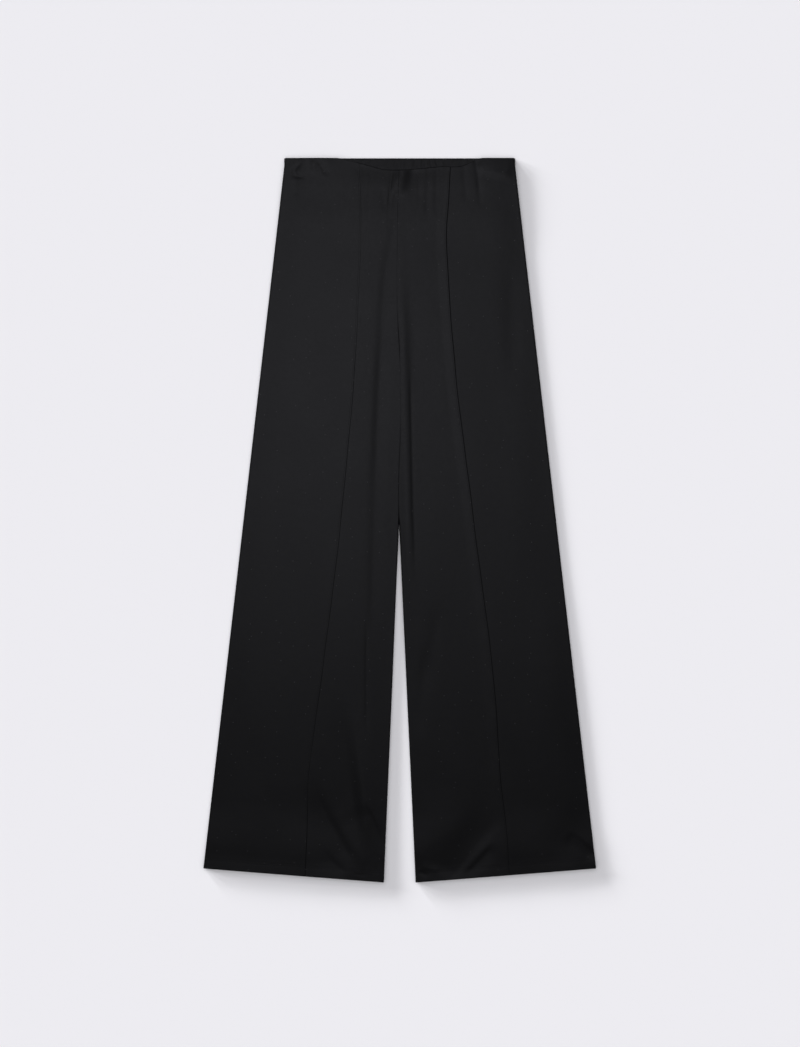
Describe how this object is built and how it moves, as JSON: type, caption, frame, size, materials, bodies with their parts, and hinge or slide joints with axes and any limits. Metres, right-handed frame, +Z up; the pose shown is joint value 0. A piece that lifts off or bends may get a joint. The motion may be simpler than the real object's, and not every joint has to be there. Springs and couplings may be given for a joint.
{
  "type": "wide straight-leg trousers",
  "caption": "Black pull-on jersey trousers laid flat, front up: wide straight legs, stitched front creases, turned hems and a concealed elastic waist.",
  "frame": {"origin": "on the floor under the middle of the garment's outline", "axes": "+Y from the hems to the waist, +Z up out of the front, the wearer's left leg on +X"},
  "size_m": [0.5896, 1.0868, 0.0074],
  "materials": {
    "jersey": "matt black crepe jersey with a faint sheen",
    "casing": "inner side of the black jersey, gathered over elastic",
    "thread": "black polyester sewing thread"
  },
  "bodies": {
    "root": {"front_right": "jersey", "front_left": "jersey", "back_right": "jersey", "back_left": "jersey", "waist_casing_back": "casing"}
  },
  "joints": []
}
